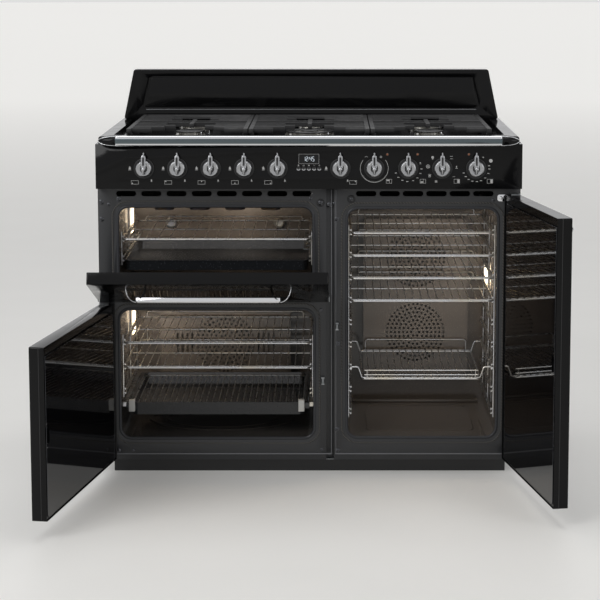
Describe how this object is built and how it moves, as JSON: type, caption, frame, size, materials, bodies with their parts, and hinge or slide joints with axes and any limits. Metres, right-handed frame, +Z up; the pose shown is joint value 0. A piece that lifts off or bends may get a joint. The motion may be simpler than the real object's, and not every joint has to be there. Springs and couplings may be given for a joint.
{
  "type": "range cooker",
  "caption": "Freestanding range cooker with a gas hob, control panel, grill oven, main oven and tall oven, doors open, with racks and trays that slide out.",
  "frame": {"origin": "on the floor, at the centre of the body's footprint", "axes": "+Z up, the front faces -Y, +X to the user's right, +Y towards the wall"},
  "size_m": [1.3084, 1.1721, 1.041],
  "materials": {
    "enamelled_casing": "satin black",
    "gloss_enamel": "gloss black",
    "front_enamel": "satin charcoal",
    "cavity_enamel": "gloss charcoal",
    "tray_enamel": "speckled enamel",
    "galvanised_steel": "zinc coated",
    "chrome_wire": "plated wire",
    "chrome_bar": "polished",
    "element_steel": "heat darkened",
    "display_glass": "gloss",
    "brass_parts": "turned",
    "black_plastic": "matte",
    "burner_alloy": "cast, with black caps",
    "cast_iron": "matte enamel",
    "satin_silver": "satin",
    "dark_glass": "dark tinted"
  },
  "bodies": {
    "root": {"casing_panels": "enamelled_casing", "base_pan": "galvanised_steel", "plinth": "enamelled_casing", "levelling_feet": "galvanised_steel", "front_frame_left": "front_enamel", "front_frame_right": "front_enamel", "grill_cavity": "cavity_enamel", "main_cavity": "cavity_enamel", "tall_cavity": "cavity_enamel", "side_ladders": "chrome_wire", "fan_covers": "cavity_enamel", "fan_motors": "galvanised_steel", "heating_elements": "element_steel", "control_panel": "gloss_enamel", "timer_display": "display_glass", "gas_manifold": "brass_parts", "oven_switches": "black_plastic", "hob_top": "gloss_enamel", "splashback": "gloss_enamel", "towel_rail": "chrome_bar", "burners": "burner_alloy", "pan_supports": "cast_iron", "hinge_brackets": "galvanised_steel"},
    "burner_knob_1": {"burner_knob_1": "satin_silver"},
    "burner_knob_2": {"burner_knob_2": "satin_silver"},
    "burner_knob_3": {"burner_knob_3": "satin_silver"},
    "burner_knob_4": {"burner_knob_4": "satin_silver"},
    "burner_knob_5": {"burner_knob_5": "satin_silver"},
    "burner_knob_6": {"burner_knob_6": "satin_silver"},
    "grill_knob": {"grill_knob": "satin_silver"},
    "main_oven_knob": {"main_oven_knob": "satin_silver"},
    "tall_oven_mode_knob": {"tall_oven_mode_knob": "satin_silver"},
    "tall_oven_heat_knob": {"tall_oven_heat_knob": "satin_silver"},
    "timer_button_1": {"timer_button_1": "satin_silver"},
    "timer_button_2": {"timer_button_2": "satin_silver"},
    "timer_button_3": {"timer_button_3": "satin_silver"},
    "timer_button_4": {"timer_button_4": "satin_silver"},
    "timer_button_5": {"timer_button_5": "satin_silver"},
    "grill_rack": {"grill_rack": "chrome_wire"},
    "main_rack_upper": {"main_rack_upper": "chrome_wire"},
    "main_rack_lower": {"main_rack_lower": "chrome_wire"},
    "tall_rack_1": {"tall_rack_1": "chrome_wire"},
    "tall_rack_2": {"tall_rack_2": "chrome_wire"},
    "tall_rack_3": {"tall_rack_3": "chrome_wire"},
    "tall_rack_4": {"tall_rack_4": "chrome_wire"},
    "tall_basket": {"tall_basket": "chrome_wire"},
    "grill_tray": {"grill_tray": "tray_enamel"},
    "main_tray": {"main_tray": "tray_enamel"},
    "main_fan": {"main_fan": "galvanised_steel"},
    "tall_fan_upper": {"tall_fan_upper": "galvanised_steel"},
    "tall_fan_lower": {"tall_fan_lower": "galvanised_steel"},
    "tall_door": {"tall_door_shell": "gloss_enamel", "tall_door_glass": "dark_glass", "tall_door_handle": "chrome_bar"},
    "main_door": {"main_door_shell": "gloss_enamel", "main_door_glass": "dark_glass", "main_door_handle": "chrome_bar"},
    "grill_door": {"grill_door_shell": "gloss_enamel", "grill_door_glass": "dark_glass", "grill_door_handle": "chrome_bar"}
  },
  "joints": [
    {"name": "burner_knob_1_turn", "type": "hinge", "parent": "root", "child": "burner_knob_1", "pos_m": [-0.425, -0.3, 0.817], "axis": [0, -1, 0], "range_deg": [0, 215]},
    {"name": "burner_knob_2_turn", "type": "hinge", "parent": "root", "child": "burner_knob_2", "pos_m": [-0.339, -0.3, 0.817], "axis": [0, -1, 0], "range_deg": [0, 215]},
    {"name": "burner_knob_3_turn", "type": "hinge", "parent": "root", "child": "burner_knob_3", "pos_m": [-0.253, -0.3, 0.817], "axis": [0, -1, 0], "range_deg": [0, 215]},
    {"name": "burner_knob_4_turn", "type": "hinge", "parent": "root", "child": "burner_knob_4", "pos_m": [-0.167, -0.3, 0.817], "axis": [0, -1, 0], "range_deg": [0, 215]},
    {"name": "burner_knob_5_turn", "type": "hinge", "parent": "root", "child": "burner_knob_5", "pos_m": [-0.081, -0.3, 0.817], "axis": [0, -1, 0], "range_deg": [0, 215]},
    {"name": "burner_knob_6_turn", "type": "hinge", "parent": "root", "child": "burner_knob_6", "pos_m": [0.081, -0.3, 0.817], "axis": [0, -1, 0], "range_deg": [0, 215]},
    {"name": "grill_knob_turn", "type": "hinge", "parent": "root", "child": "grill_knob", "pos_m": [0.1685, -0.3, 0.817], "axis": [0, -1, 0], "range_deg": [-270, 0]},
    {"name": "main_oven_knob_turn", "type": "hinge", "parent": "root", "child": "main_oven_knob", "pos_m": [0.256, -0.3, 0.817], "axis": [0, -1, 0], "range_deg": [-285, 0]},
    {"name": "tall_oven_mode_knob_turn", "type": "hinge", "parent": "root", "child": "tall_oven_mode_knob", "pos_m": [0.3435, -0.3, 0.817], "axis": [0, -1, 0], "continuous": true},
    {"name": "tall_oven_heat_knob_turn", "type": "hinge", "parent": "root", "child": "tall_oven_heat_knob", "pos_m": [0.431, -0.3, 0.817], "axis": [0, -1, 0], "range_deg": [-285, 0]},
    {"name": "timer_button_1_press", "type": "slide", "parent": "root", "child": "timer_button_1", "axis": [0, 1, 0], "range_m": [0, 0.0015], "stiffness_N_per_m": 400},
    {"name": "timer_button_2_press", "type": "slide", "parent": "root", "child": "timer_button_2", "axis": [0, 1, 0], "range_m": [0, 0.0015], "stiffness_N_per_m": 400},
    {"name": "timer_button_3_press", "type": "slide", "parent": "root", "child": "timer_button_3", "axis": [0, 1, 0], "range_m": [0, 0.0015], "stiffness_N_per_m": 400},
    {"name": "timer_button_4_press", "type": "slide", "parent": "root", "child": "timer_button_4", "axis": [0, 1, 0], "range_m": [0, 0.0015], "stiffness_N_per_m": 400},
    {"name": "timer_button_5_press", "type": "slide", "parent": "root", "child": "timer_button_5", "axis": [0, 1, 0], "range_m": [0, 0.0015], "stiffness_N_per_m": 400},
    {"name": "grill_rack_slide", "type": "slide", "parent": "root", "child": "grill_rack", "axis": [0, -1, 0], "range_m": [0, 0.28]},
    {"name": "main_rack_upper_slide", "type": "slide", "parent": "root", "child": "main_rack_upper", "axis": [0, -1, 0], "range_m": [0, 0.3]},
    {"name": "main_rack_lower_slide", "type": "slide", "parent": "root", "child": "main_rack_lower", "axis": [0, -1, 0], "range_m": [0, 0.3]},
    {"name": "tall_rack_1_slide", "type": "slide", "parent": "root", "child": "tall_rack_1", "axis": [0, -1, 0], "range_m": [0, 0.3]},
    {"name": "tall_rack_2_slide", "type": "slide", "parent": "root", "child": "tall_rack_2", "axis": [0, -1, 0], "range_m": [0, 0.3]},
    {"name": "tall_rack_3_slide", "type": "slide", "parent": "root", "child": "tall_rack_3", "axis": [0, -1, 0], "range_m": [0, 0.3]},
    {"name": "tall_rack_4_slide", "type": "slide", "parent": "root", "child": "tall_rack_4", "axis": [0, -1, 0], "range_m": [0, 0.3]},
    {"name": "tall_basket_slide", "type": "slide", "parent": "root", "child": "tall_basket", "axis": [0, -1, 0], "range_m": [0, 0.3]},
    {"name": "grill_tray_slide", "type": "slide", "parent": "root", "child": "grill_tray", "axis": [0, -1, 0], "range_m": [0, 0.17]},
    {"name": "main_tray_slide", "type": "slide", "parent": "root", "child": "main_tray", "axis": [0, -1, 0], "range_m": [0, 0.3]},
    {"name": "main_fan_spin", "type": "hinge", "parent": "root", "child": "main_fan", "pos_m": [-0.243, 0.176, 0.269], "axis": [0, 1, 0], "continuous": true},
    {"name": "tall_fan_upper_spin", "type": "hinge", "parent": "root", "child": "tall_fan_upper", "pos_m": [0.296, 0.176, 0.515], "axis": [0, 1, 0], "continuous": true},
    {"name": "tall_fan_lower_spin", "type": "hinge", "parent": "root", "child": "tall_fan_lower", "pos_m": [0.296, 0.176, 0.301], "axis": [0, 1, 0], "continuous": true},
    {"name": "tall_door_hinge", "type": "hinge", "parent": "root", "child": "tall_door", "pos_m": [0.535, -0.29, 0.397], "axis": [0, 0, 1], "range_deg": [-99.6, 0]},
    {"name": "main_door_hinge", "type": "hinge", "parent": "root", "child": "main_door", "pos_m": [-0.535, -0.29, 0.253], "axis": [0, 0, -1], "range_deg": [-99.6, 0]},
    {"name": "grill_door_hinge", "type": "hinge", "parent": "root", "child": "grill_door", "pos_m": [-0.248, -0.293, 0.474], "axis": [1, 0, 0], "range_deg": [-71, 19]}
  ]
}
